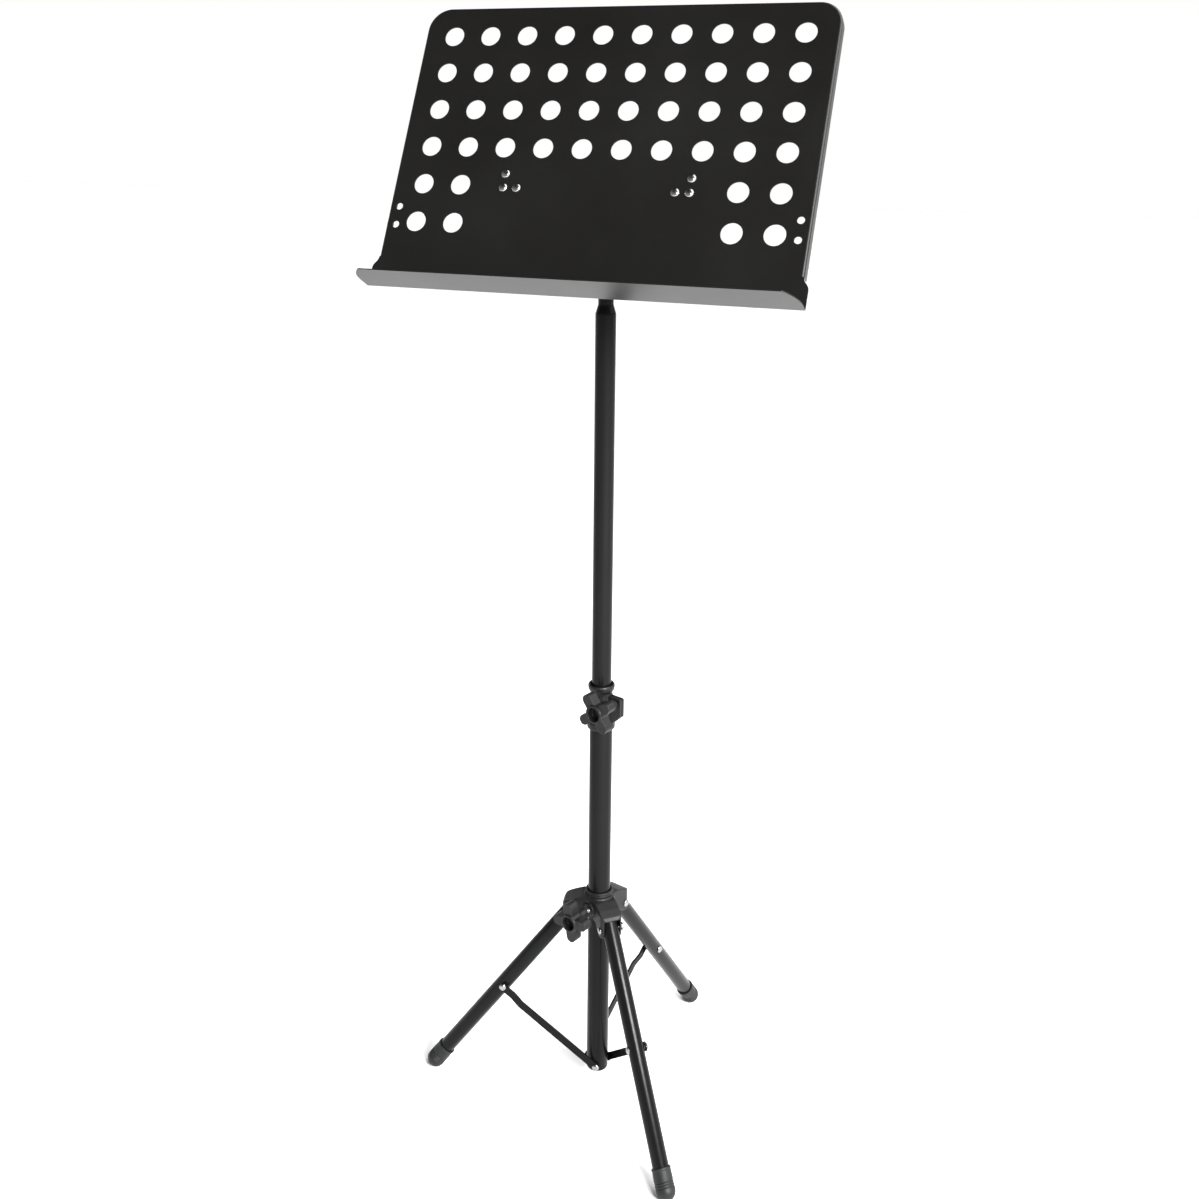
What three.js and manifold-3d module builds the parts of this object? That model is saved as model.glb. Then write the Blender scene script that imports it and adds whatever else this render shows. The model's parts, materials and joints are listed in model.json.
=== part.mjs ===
// Music stand: a perforated sheet-metal desk on a telescopic mast with a folding tripod.
// Units are millimetres. +Z is up, +X is the reader's right, and the reader stands at -Y.
// The mast runs up the Z axis of the stand group; the last lines move that group so that
// the origin is the middle of the footprint, on the floor.
import * as THREE from 'three';
import { mergeVertices } from 'three/addons/utils/BufferGeometryUtils.js';
import Module from 'manifold-3d';

const wasm = await Module();
wasm.setup();

// ---------------------------------------------------------------- driving dimensions

const GAP = 0.3;              // clearance between pieces that touch
const TUBE_WALL = 1.2;
const TUBE_SIDES = 24;

// Desk, measured in its own plane: height is taken up the plate from the tilt axis.
const DESK_TILT = 27.15;      // degrees from vertical, leaning back
const TILT_AXIS_HEIGHT = 1160;
const PLATE_FRONT = -40.5;    // front face of the plate, in front of the tilt axis
const SHEET = 1.2;
const HOLE_PITCH = 46.1;
const HOLE_RADIUS = 11.9;
const FIRST_ROW_HEIGHT = 173;
const FULL_ROWS = 4;
const SIDE_ROWS = 2;
const HOLE_COLUMNS = 10;
const SIDE_COLUMNS = 2;
const DESK_HALF_WIDTH = 244.5;
const DESK_TOP = 209.8;
const DESK_CORNER = 27;
const FLANGE_DEPTH = 14;
const FLANGE_FOOT = -101;
const FLARE_FOOT = -116;
const LEDGE_HALF_WIDTH = 250.8;
const LEDGE_HEIGHT = -137.5;
const LEDGE_DEPTH = 52;
const CLIP_HOLE_X = 232.4;
const CLIP_HOLE_RADIUS = 4.1;
const CLIP_HOLE_HEIGHTS = [-40, -62];

// Rivets that hold the two bracket ears, three on each side.
const RIVET_OUTER_X = 108.3;
const RIVET_INNER_X = 92.2;
const RIVET_TOP = 3;
const RIVET_BOTTOM = -13.6;
const RIVET_SHANK = 2.2;
const RIVET_HEAD = 4.6;

// Tilt bar and head.
const BAR_RADIUS = 6;
const EAR_WEB_X = 114;
const EAR_THICKNESS = 2.5;
const HEAD_RADIUS = 14;
const HEAD_HALF_LENGTH = 20;
const HEAD_BOSS_END = 25;
const SOCKET_RADIUS = 13;
const SOCKET_DEPTH = 48;

// Mast.
const LOWER_TUBE_RADIUS = 14.1;
const LOWER_TUBE_BOTTOM = 28.5;
const LOWER_TUBE_TOP = 543;
const UPPER_TUBE_RADIUS = 12;
const UPPER_TUBE_BOTTOM = 480;
const TAPER_BOTTOM = 1027;
const TAPER_TOP = 1037;
const NECK_RADIUS = 8.9;
const NECK_TOP = TILT_AXIS_HEIGHT - 17;

// Height clamp on top of the lower tube: a split collar whose two ears are drawn together
// by a screw that passes beside the tube.
const CLAMP_BOTTOM = 514.6;
const CLAMP_TOP = 573;
const CLAMP_SCREW_HEIGHT = 550.5;
const CLAMP_SCREW_OFFSET = 20; // the screw's axis to the mast's axis
const CLAMP_AZIMUTH = 252.6;  // degrees, anticlockwise from +X seen from above
const CLAMP_EAR_REACH = 32;
const CLAMP_EAR_HALF = 4.2;   // both ears together, half their thickness
const CLAMP_SPLIT = 1.2;
const CLAMP_KNOB_BASE = 10;
const CLAMP_LOBE_TURN = 36;   // degrees that a lobe stands above level

// Tripod.
const LEG_AZIMUTHS = [192.6, 312.6, 72.6];
const LEG_NAMES = ['left', 'front', 'back'];
const LEG_SLOPE = 53.4;       // degrees below the horizontal
const LEG_LENGTH = 303;       // hinge to the centre of the round foot
const LEG_RADIUS = 10.2;
const FOOT_RADIUS = 12;
const FOOT_CENTRE_HEIGHT = 11.2;
const HINGE_RADIUS = 39;      // hinge pin to the mast's axis
const HINGE_PIN = 3;
const BRACE_ON_LEG = 143.5;    // hinge to the brace's bolt, along the leg
const BRACE_RIVET_HEIGHT = 34;
const BRACE_AT_TUBE = 16;     // sideways from the leg's plane
const BRACE_AT_LEG = 12.2;
const BRACE_THICKNESS = 2.5;
const BRACE_EYE = 4.8;
const BRACE_HALF_WIDTH = 3.8;
const PIN_RADIUS = 2.2;
const HUB_KNOB_AZIMUTH = LEG_AZIMUTHS[0] + 60;
const HUB_KNOB_RISE = 14.5;   // above the leg hinges
const HUB_BOSS_END = 23;
const HUB_KNOB_BASE = 31;
const HUB_LOBE_TURN = 8;
const HUB_ARM_END = 46.5;
const HUB_ARM_HALF_WIDTH = 14.2;

// Star knob, the same on all three clamps, measured along its own axis from its base.
const KNOB_LOBE_REACH = 26;
const KNOB_LOBE_HALF_WIDTH = 6.6;
const KNOB_LOBE_FROM = 16.5;
const KNOB_LOBE_TO = 30;
const KNOB_NECK_RADIUS = 8;
const KNOB_CORE_RADIUS = 9.5;
const KNOB_CORE_TOP = 32;
const KNOB_RECESS_RADIUS = 6.5;
const KNOB_RECESS_FLOOR = 26;
const SCREW_RADIUS = 3;
const SCREW_IN_KNOB = 14;

const slope = THREE.MathUtils.degToRad(LEG_SLOPE);
const HINGE_HEIGHT = FOOT_CENTRE_HEIGHT + LEG_LENGTH * Math.sin(slope);
const braceRun = HINGE_RADIUS + BRACE_ON_LEG * Math.cos(slope);
const braceRise = HINGE_HEIGHT - BRACE_ON_LEG * Math.sin(slope) - BRACE_RIVET_HEIGHT;
const BRACE_LENGTH = Math.hypot(braceRun, braceRise);

// ---------------------------------------------------------------- finishes

const finish = (color, roughness, metalness) =>
  new THREE.MeshStandardMaterial({ color, roughness, metalness, flatShading: true });
const deskPaint = () => finish(0x201f1d, 0.5, 0.1);
const tubePaint = () => finish(0x1b1b1c, 0.35, 0.1);
const plastic = () => finish(0x19191b, 0.45, 0);
const rubber = () => finish(0x202122, 0.85, 0);
const zinc = () => finish(0xc4c4c0, 0.25, 1);

// ---------------------------------------------------------------- solids

// A closed geometry as a solid: shared corners merged and collapsed triangles dropped.
function solidOf(geometry) {
  const bare = new THREE.BufferGeometry();
  bare.setAttribute('position', geometry.getAttribute('position'));
  bare.setIndex(geometry.getIndex());
  const merged = mergeVertices(bare, 1e-4);
  const corners = merged.index.array;
  const triangles = [];
  for (let i = 0; i < corners.length; i += 3) {
    const [a, b, c] = corners.slice(i, i + 3);
    if (a !== b && b !== c && c !== a) triangles.push(a, b, c);
  }
  return new wasm.Manifold(new wasm.Mesh({
    numProp: 3,
    vertProperties: new Float32Array(merged.getAttribute('position').array),
    triVerts: new Uint32Array(triangles),
  }));
}

function geometryOf(solid) {
  const mesh = solid.getMesh();
  const geometry = new THREE.BufferGeometry();
  geometry.setAttribute('position', new THREE.BufferAttribute(mesh.vertProperties, 3));
  geometry.setIndex(new THREE.BufferAttribute(mesh.triVerts, 1));
  return geometry;
}

function join(first, ...others) {
  const solid = others.reduce((sum, next) => sum.add(solidOf(next)), solidOf(first));
  return geometryOf(solid);
}

function cut(body, ...tools) {
  const solid = tools.reduce((rest, tool) => rest.subtract(solidOf(tool)), solidOf(body));
  return geometryOf(solid);
}

function common(first, second) {
  return geometryOf(solidOf(first).intersect(solidOf(second)));
}

// A profile of [radius, height] points turned about the Z axis.
function turned(profile, sides = TUBE_SIDES) {
  const points = profile.map(([radius, height]) => new THREE.Vector2(radius, height));
  return new THREE.LatheGeometry(points, sides).rotateX(Math.PI / 2);
}

function rod(radius, from, to, sides = TUBE_SIDES) {
  return turned([[0, from], [radius, from], [radius, to], [0, to]], sides);
}

function pipe(outer, inner, from, to, sides = TUBE_SIDES) {
  return turned([[outer, from], [outer, to], [inner, to], [inner, from], [outer, from]], sides);
}

// A rod with a domed head on its far end, along +Z.
function headedPin(radius, from, headFrom, headRadius, headHeight, sides = 12) {
  return turned([
    [0, from],
    [radius, from],
    [radius, headFrom],
    [headRadius, headFrom],
    [headRadius * 0.92, headFrom + headHeight * 0.5],
    [headRadius * 0.6, headFrom + headHeight * 0.88],
    [0, headFrom + headHeight],
  ], sides);
}

const alongX = (geometry) => geometry.rotateY(Math.PI / 2);
const alongY = (geometry) => geometry.rotateX(-Math.PI / 2);
const alongAzimuth = (geometry, degrees) =>
  alongX(geometry).rotateZ(THREE.MathUtils.degToRad(degrees));

// A flat outline drawn in X and height, standing upright between two Y values.
function upright(shape, nearY, farY, curveSegments = 6) {
  const options = { depth: farY - nearY, bevelEnabled: false, curveSegments };
  return new THREE.ExtrudeGeometry(shape, options).rotateX(Math.PI / 2).translate(0, farY, 0);
}

// A flat outline drawn in X and Y, lying between two heights.
function lying(shape, bottom, top, curveSegments = 6) {
  const options = { depth: top - bottom, bevelEnabled: false, curveSegments };
  return new THREE.ExtrudeGeometry(shape, options).translate(0, 0, bottom);
}

function polygon(points) {
  return new THREE.Shape(points.map(([x, y]) => new THREE.Vector2(x, y)));
}

function circle(x, y, radius) {
  return new THREE.Path().absarc(x, y, radius, 0, 2 * Math.PI, true);
}

function part(name, geometry, material) {
  const mesh = new THREE.Mesh(geometry, material);
  mesh.name = name;
  return mesh;
}

// ---------------------------------------------------------------- star knob and its screw

function starKnob() {
  const lobes = [0, 90].map((turn) => {
    const middle = KNOB_LOBE_REACH - KNOB_LOBE_HALF_WIDTH;
    const bar = new THREE.Shape();
    bar.absarc(middle, 0, KNOB_LOBE_HALF_WIDTH, -Math.PI / 2, Math.PI / 2, false);
    bar.absarc(-middle, 0, KNOB_LOBE_HALF_WIDTH, Math.PI / 2, 1.5 * Math.PI, false);
    const solid = lying(bar, KNOB_LOBE_FROM, KNOB_LOBE_TO, 4);
    return solid.rotateZ(THREE.MathUtils.degToRad(turn));
  });
  const neck = rod(KNOB_NECK_RADIUS, 0, KNOB_LOBE_FROM + 1, 16);
  const core = rod(KNOB_CORE_RADIUS, KNOB_LOBE_FROM, KNOB_CORE_TOP, 16);
  const recess = rod(KNOB_RECESS_RADIUS, KNOB_RECESS_FLOOR, KNOB_CORE_TOP + 1, 16);
  const thread = rod(SCREW_RADIUS + GAP, -1, SCREW_IN_KNOB + GAP, 10);
  return cut(join(neck, core, ...lobes), recess, thread);
}

// The screw runs from its tip to inside the knob, along the knob's axis.
function clampScrew(knobBase, tip) {
  return rod(SCREW_RADIUS, tip, knobBase + SCREW_IN_KNOB, 10);
}

// ---------------------------------------------------------------- mast

function lowerTube() {
  const inner = LOWER_TUBE_RADIUS - TUBE_WALL;
  const tube = pipe(LOWER_TUBE_RADIUS, inner, LOWER_TUBE_BOTTOM, LOWER_TUBE_TOP);
  return cut(tube, ...LEG_AZIMUTHS.map((azimuth) => braceRivetHole(azimuth)));
}

function braceRivetHole(azimuth) {
  const hole = rod(PIN_RADIUS + GAP, 8, LOWER_TUBE_RADIUS + 2, 10);
  return alongAzimuth(hole, azimuth + 90).translate(0, 0, BRACE_RIVET_HEIGHT);
}

// Rounded plug that closes the bottom of the lower tube.
function tubePlug() {
  const spigot = LOWER_TUBE_RADIUS - TUBE_WALL - GAP;
  const seat = LOWER_TUBE_BOTTOM - GAP;
  const plug = turned([
    [0, seat - 4],
    [LOWER_TUBE_RADIUS - 3.5, seat - 4],
    [LOWER_TUBE_RADIUS - 1, seat - 2.8],
    [LOWER_TUBE_RADIUS, seat - 0.8],
    [LOWER_TUBE_RADIUS, seat],
    [spigot, seat],
    [spigot, seat + 22],
    [0, seat + 22],
  ]);
  return cut(plug, ...LEG_AZIMUTHS.map((azimuth) => braceRivetHole(azimuth)));
}

function upperTube() {
  const tube = turned([
    [UPPER_TUBE_RADIUS, UPPER_TUBE_BOTTOM],
    [UPPER_TUBE_RADIUS, TAPER_BOTTOM],
    [NECK_RADIUS, TAPER_TOP],
    [NECK_RADIUS, NECK_TOP],
    [NECK_RADIUS - TUBE_WALL, NECK_TOP],
    [NECK_RADIUS - TUBE_WALL, TAPER_TOP],
    [UPPER_TUBE_RADIUS - TUBE_WALL, TAPER_BOTTOM],
    [UPPER_TUBE_RADIUS - TUBE_WALL, UPPER_TUBE_BOTTOM],
    [UPPER_TUBE_RADIUS, UPPER_TUBE_BOTTOM],
  ]);
  return cut(tube, headPinHole());
}

// Plastic bush on the bottom of the upper tube: it slides in the lower tube.
function slideBush() {
  const seat = UPPER_TUBE_BOTTOM - GAP;
  const outer = LOWER_TUBE_RADIUS - TUBE_WALL - GAP;
  const spigot = UPPER_TUBE_RADIUS - TUBE_WALL - GAP;
  const bore = 7;
  return turned([
    [outer, seat - 8],
    [outer, seat],
    [spigot, seat],
    [spigot, seat + 18],
    [bore, seat + 18],
    [bore, seat - 8],
    [outer, seat - 8],
  ]);
}

// Turned so that the screw runs along +X and the ears stand off towards +Y.
function clampCollar() {
  const tubeBore = rod(LOWER_TUBE_RADIUS + GAP, CLAMP_BOTTOM - 1, LOWER_TUBE_TOP + 1);
  const mastBore = rod(UPPER_TUBE_RADIUS + 0.4, LOWER_TUBE_TOP, CLAMP_TOP + 1);
  const body = turned([
    [0, CLAMP_BOTTOM],
    [16.6, CLAMP_BOTTOM],
    [17.4, CLAMP_BOTTOM + 1.5],
    [17.4, CLAMP_BOTTOM + 8],
    [16.3, CLAMP_BOTTOM + 10],
    [15.6, CLAMP_TOP - 23],
    [13.9, CLAMP_TOP - 13],
    [13.9, CLAMP_TOP - 10],
    [16, CLAMP_TOP - 7],
    [16.6, CLAMP_TOP - 2.5],
    [15.6, CLAMP_TOP],
    [14, CLAMP_TOP - 1],
    [UPPER_TUBE_RADIUS, CLAMP_TOP - 6],
    [0, CLAMP_TOP - 6],
  ]);
  const boss = alongX(rod(7.5, CLAMP_EAR_HALF - 1, CLAMP_KNOB_BASE - GAP, 16));
  const hole = alongX(rod(SCREW_RADIUS + GAP, -40, 40, 10));
  boss.translate(0, CLAMP_SCREW_OFFSET, CLAMP_SCREW_HEIGHT);
  hole.translate(0, CLAMP_SCREW_OFFSET, CLAMP_SCREW_HEIGHT);
  const splitTop = CLAMP_TOP - 12;
  const split = new THREE.BoxGeometry(CLAMP_SPLIT, 40, 80).translate(0, 30, splitTop - 40);
  const collar = cut(join(body, clampEars(), boss), tubeBore, mastBore, hole, split);
  return turnedTo(collar, CLAMP_AZIMUTH);
}

function clampEars() {
  const outline = polygon([
    [8, CLAMP_BOTTOM + 6.5],
    [15, CLAMP_BOTTOM + 6.5],
    [CLAMP_EAR_REACH, CLAMP_SCREW_HEIGHT - 13.7],
    [CLAMP_EAR_REACH, CLAMP_SCREW_HEIGHT + 8],
    [CLAMP_EAR_REACH - 1.5, CLAMP_SCREW_HEIGHT + 9.5],
    [8, CLAMP_SCREW_HEIGHT + 10],
  ]);
  return upright(outline, -CLAMP_EAR_HALF, CLAMP_EAR_HALF).rotateZ(Math.PI / 2);
}

// ---------------------------------------------------------------- tilt head, bar and ears

function headPinHole() {
  return alongX(rod(PIN_RADIUS + GAP, -30, 30, 10)).translate(0, 0, TILT_AXIS_HEIGHT - 34);
}

// Measured from the tilt axis: a barrel across the bar over a socket for the neck.
function tiltHead() {
  const barrel = alongX(rod(HEAD_RADIUS, -HEAD_HALF_LENGTH, HEAD_HALF_LENGTH));
  const socket = rod(SOCKET_RADIUS, -SOCKET_DEPTH, -4);
  const boss = alongY(rod(8.5, 8, HEAD_BOSS_END, 16));
  const barBore = alongX(rod(BAR_RADIUS + GAP, -30, 30));
  const neckBore = rod(NECK_RADIUS + GAP, -SOCKET_DEPTH - 1, NECK_TOP - TILT_AXIS_HEIGHT + GAP);
  const screwHole = alongY(rod(SCREW_RADIUS + GAP, 0, 40, 10));
  const pinHole = headPinHole().translate(0, 0, -TILT_AXIS_HEIGHT);
  return cut(join(barrel, socket, boss), barBore, neckBore, screwHole, pinHole);
}

// The bar carries both ears: each end steps down through an ear and is riveted over.
function tiltBar() {
  const stub = 4;
  const shoulder = EAR_WEB_X - GAP;
  const headFrom = EAR_WEB_X + EAR_THICKNESS + GAP;
  const head = BAR_RADIUS + 1;
  const half = [
    [BAR_RADIUS, shoulder],
    [stub, shoulder],
    [stub, headFrom],
    [head, headFrom],
    [head, headFrom + 2],
    [stub, headFrom + 3.5],
    [0, headFrom + 3.5],
  ];
  const mirrored = half.map(([radius, along]) => [radius, -along]).reverse();
  return alongX(turned([...mirrored, ...half], 20));
}

// Right-hand ear; the left one is its mirror image, made with side = -1.
function bracketEar(side) {
  const back = PLATE_FRONT + SHEET + GAP;
  const inner = RIVET_INNER_X - 9;
  const outer = EAR_WEB_X + EAR_THICKNESS;
  const top = RIVET_TOP + 9;
  const bottom = RIVET_BOTTOM - 9;
  const foot = polygon([[inner, bottom + 12], [inner + 8, bottom], [outer, bottom], [outer, top],
    [RIVET_OUTER_X - 9, top], [inner, bottom + 17]]);
  for (const [x, height] of rivetPlaces()) foot.holes.push(circle(x, height, RIVET_SHANK + GAP));
  const flange = upright(foot, back, back + EAR_THICKNESS, 4);

  const reach = 11;
  const web = new THREE.Shape();
  web.moveTo(back, bottom);
  web.lineTo(back + 10, bottom);
  web.absarc(0, 0, reach, -0.4 * Math.PI, 0.6 * Math.PI, false);
  web.lineTo(back, top);
  web.closePath();
  web.holes.push(circle(0, 0, 4 + GAP));
  const plate = lying(web, 0, EAR_THICKNESS, 6).rotateX(Math.PI / 2).rotateZ(Math.PI / 2);
  plate.translate(EAR_WEB_X, 0, 0);
  const ear = join(flange, plate);
  return side > 0 ? ear : mirroredInX(ear);
}

function mirroredInX(geometry) {
  const mirrored = geometry.clone().scale(-1, 1, 1);
  const corners = mirrored.index.array;
  for (let i = 0; i < corners.length; i += 3) {
    [corners[i], corners[i + 1]] = [corners[i + 1], corners[i]];
  }
  return mirrored;
}

function rivetPlaces() {
  return [
    [RIVET_OUTER_X, RIVET_TOP],
    [RIVET_OUTER_X, RIVET_BOTTOM],
    [RIVET_INNER_X, RIVET_BOTTOM],
  ];
}

// A rivet through the plate and an ear, its dome on the reader's side.
function deskRivet() {
  const head = headedPin(RIVET_SHANK, -EAR_THICKNESS - SHEET - GAP - 1.2, GAP, RIVET_HEAD, 2.6, 12);
  return alongY(head).rotateZ(Math.PI);
}

// ---------------------------------------------------------------- desk

function deskOutline(inset, foot) {
  const side = DESK_HALF_WIDTH - inset;
  const top = DESK_TOP - inset;
  const corner = DESK_CORNER - inset;
  const outline = new THREE.Shape();
  outline.moveTo(-side, foot);
  outline.lineTo(side, foot);
  outline.lineTo(side, top - corner);
  outline.absarc(side - corner, top - corner, corner, 0, Math.PI / 2, false);
  outline.absarc(corner - side, top - corner, corner, Math.PI / 2, Math.PI, false);
  outline.closePath();
  return outline;
}

// Below the side flanges the plate flares out to the width of the ledge.
function platePerimeter() {
  const side = DESK_HALF_WIDTH;
  const flare = LEDGE_HALF_WIDTH;
  const outline = new THREE.Shape();
  const bend = (FLANGE_FOOT + FLARE_FOOT) / 2;
  outline.moveTo(-flare, LEDGE_HEIGHT);
  outline.lineTo(flare, LEDGE_HEIGHT);
  outline.lineTo(flare, FLARE_FOOT);
  outline.bezierCurveTo(flare, bend, side, bend, side, FLANGE_FOOT);
  outline.lineTo(side, DESK_TOP - DESK_CORNER);
  outline.absarc(side - DESK_CORNER, DESK_TOP - DESK_CORNER, DESK_CORNER, 0, Math.PI / 2, false);
  outline.absarc(DESK_CORNER - side, DESK_TOP - DESK_CORNER, DESK_CORNER, Math.PI / 2, Math.PI, false);
  outline.lineTo(-side, FLANGE_FOOT);
  outline.bezierCurveTo(-side, bend, -flare, bend, -flare, FLARE_FOOT);
  outline.closePath();
  return outline;
}

function holePlaces() {
  const places = [];
  for (let row = 0; row < FULL_ROWS + SIDE_ROWS; row += 1) {
    for (let column = 0; column < HOLE_COLUMNS; column += 1) {
      const atSide = column < SIDE_COLUMNS || column >= HOLE_COLUMNS - SIDE_COLUMNS;
      if (row >= FULL_ROWS && !atSide) continue;
      const x = (column - (HOLE_COLUMNS - 1) / 2) * HOLE_PITCH;
      places.push([x, FIRST_ROW_HEIGHT - row * HOLE_PITCH]);
    }
  }
  return places;
}

function ledgeOutline() {
  const back = PLATE_FRONT + SHEET;
  const front = PLATE_FRONT - LEDGE_DEPTH;
  const side = LEDGE_HALF_WIDTH;
  const straight = PLATE_FRONT - 14;
  const cornerX = side - 15;
  const outline = new THREE.Shape();
  outline.moveTo(side, back);
  outline.lineTo(-side, back);
  outline.lineTo(-side, straight);
  outline.quadraticCurveTo(-side, front + 14, -cornerX, front);
  outline.lineTo(cornerX, front);
  outline.quadraticCurveTo(side, front + 14, side, straight);
  outline.closePath();
  return outline;
}

// One pressed sheet: plate, turned-back flanges on the top and sides, and the music ledge.
function deskPanel() {
  const perimeter = platePerimeter();
  for (const [x, height] of holePlaces()) perimeter.holes.push(circle(x, height, HOLE_RADIUS));
  for (const side of [-1, 1]) {
    for (const height of CLIP_HOLE_HEIGHTS) {
      perimeter.holes.push(circle(side * CLIP_HOLE_X, height, CLIP_HOLE_RADIUS));
    }
    for (const [x, height] of rivetPlaces()) {
      perimeter.holes.push(circle(side * x, height, RIVET_SHANK + GAP));
    }
  }
  const plate = upright(perimeter, PLATE_FRONT, PLATE_FRONT + SHEET);
  const rim = upright(deskOutline(0, FLANGE_FOOT), PLATE_FRONT + SHEET / 2, PLATE_FRONT + FLANGE_DEPTH);
  const inside = upright(deskOutline(SHEET, FLANGE_FOOT - 1), PLATE_FRONT, PLATE_FRONT + FLANGE_DEPTH + 1);
  const ledge = lying(ledgeOutline(), LEDGE_HEIGHT, LEDGE_HEIGHT + SHEET, 5);
  return join(plate, cut(rim, inside), ledge);
}

// ---------------------------------------------------------------- hub

function hubArm() {
  const side = polygon([
    [14, 2],
    [22, 2],
    [34, -9.5],
    [44, -9.5],
    [HUB_ARM_END, -7],
    [HUB_ARM_END, 15],
    [44, 19],
    [34, 23.5],
    [22, 27.5],
    [14, 28.5],
  ]);
  const profile = upright(side, -HUB_ARM_HALF_WIDTH, HUB_ARM_HALF_WIDTH);
  const half = HUB_ARM_HALF_WIDTH;
  const round = 7;
  const plan = new THREE.Shape();
  plan.moveTo(0, -half);
  plan.lineTo(HUB_ARM_END - round, -half);
  plan.absarc(HUB_ARM_END - round, round - half, round, -Math.PI / 2, 0, false);
  plan.absarc(HUB_ARM_END - round, half - round, round, 0, Math.PI / 2, false);
  plan.lineTo(0, half);
  plan.closePath();
  return common(profile, lying(plan, -20, 40, 3));
}

// Slot that a leg swings in, and the hole for its pin.
function hubSlot() {
  const halfWidth = LEG_RADIUS + 0.6;
  const slot = new THREE.BoxGeometry(40, 2 * halfWidth, 40);
  return slot.translate(25 + 20, 0, 14.3 - 20);
}

function hingePinHole() {
  return alongY(rod(HINGE_PIN + GAP, -30, 30, 10)).translate(HINGE_RADIUS, 0, 0);
}

// Measured from the height of the leg hinges.
function hub() {
  const sleeve = turned([
    [0, 2],
    [20.5, 2],
    [20.5, 26],
    [18.6, 28.8],
    [18.6, 30],
    [0, 30],
  ]);
  const boss = alongAzimuth(rod(8.5, 12, HUB_BOSS_END, 16), HUB_KNOB_AZIMUTH);
  boss.translate(0, 0, HUB_KNOB_RISE);
  const arms = LEG_AZIMUTHS.map((azimuth) => turnedTo(hubArm(), azimuth));
  const slots = LEG_AZIMUTHS.map((azimuth) => turnedTo(hubSlot(), azimuth));
  const holes = LEG_AZIMUTHS.map((azimuth) => turnedTo(hingePinHole(), azimuth));
  const bore = rod(LOWER_TUBE_RADIUS + 0.4, -20, 50);
  const screwHole = alongAzimuth(rod(SCREW_RADIUS + GAP, 8, 40, 10), HUB_KNOB_AZIMUTH);
  screwHole.translate(0, 0, HUB_KNOB_RISE);
  return cut(join(sleeve, boss, ...arms), ...slots, ...holes, bore, screwHole);
}

function turnedTo(geometry, degrees) {
  return geometry.rotateZ(THREE.MathUtils.degToRad(degrees));
}

// Wiper ring seated on top of the hub, round the tube.
function hubRing() {
  const inner = LOWER_TUBE_RADIUS + 0.4;
  const seat = 30 + GAP;
  return turned([
    [inner, seat],
    [17.6, seat],
    [17.6, seat + 2.2],
    [17, seat + 2.8],
    [17.4, seat + 3.6],
    [17, seat + 5.4],
    [inner, seat + 6],
    [inner, seat],
  ]);
}

function hingePin() {
  const outside = HUB_ARM_HALF_WIDTH + GAP;
  const nut = rod(5, -outside - 3, -outside, 12);
  const bolt = headedPin(HINGE_PIN, -outside - 1, outside, 5, 2.4, 12);
  return alongY(join(bolt, nut)).rotateZ(Math.PI);
}

// ---------------------------------------------------------------- leg, foot and brace
// A leg and its foot are measured along +X from the hinge; +Y is the brace's side.

function leg() {
  const tube = alongX(pipe(LEG_RADIUS, LEG_RADIUS - TUBE_WALL, -8, LEG_LENGTH - 4, 20));
  const pinHole = alongY(rod(HINGE_PIN + GAP, -20, 20, 10));
  const boltHole = alongY(rod(PIN_RADIUS + GAP, -20, 20, 10)).translate(BRACE_ON_LEG, 0, 0);
  return cut(tube, pinHole, boltHole);
}

function legBolt() {
  const inside = BRACE_AT_LEG - BRACE_THICKNESS / 2 - 2 * GAP;
  const bolt = headedPin(PIN_RADIUS, -inside, LEG_RADIUS + GAP, RIVET_HEAD, 2.4, 12);
  return alongY(bolt).rotateZ(Math.PI).translate(BRACE_ON_LEG, 0, 0);
}

// Rubber cap: a ribbed sleeve with a round end, trimmed flat where it meets the floor.
function foot() {
  const bore = LEG_RADIUS + GAP;
  const mouth = LEG_LENGTH - 26;
  const dome = [15, 35, 55, 75].map((degrees) => {
    const angle = THREE.MathUtils.degToRad(degrees);
    return [FOOT_RADIUS * Math.cos(angle), LEG_LENGTH + FOOT_RADIUS * Math.sin(angle)];
  });
  const cap = alongX(turned([
    [bore, mouth],
    [FOOT_RADIUS - 0.6, mouth],
    [FOOT_RADIUS, mouth + 1.5],
    [FOOT_RADIUS, LEG_LENGTH],
    ...dome,
    [0, LEG_LENGTH + FOOT_RADIUS],
    [0, LEG_LENGTH - 4 + GAP],
    [bore, LEG_LENGTH - 4 + GAP],
    [bore, mouth],
  ], 20));
  const floorUnderFoot = new THREE.BoxGeometry(80, 80, 20);
  floorUnderFoot.translate(0, 0, -10 - FOOT_CENTRE_HEIGHT).rotateY(-slope).translate(LEG_LENGTH, 0, 0);
  return cut(cap, floorUnderFoot);
}

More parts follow.
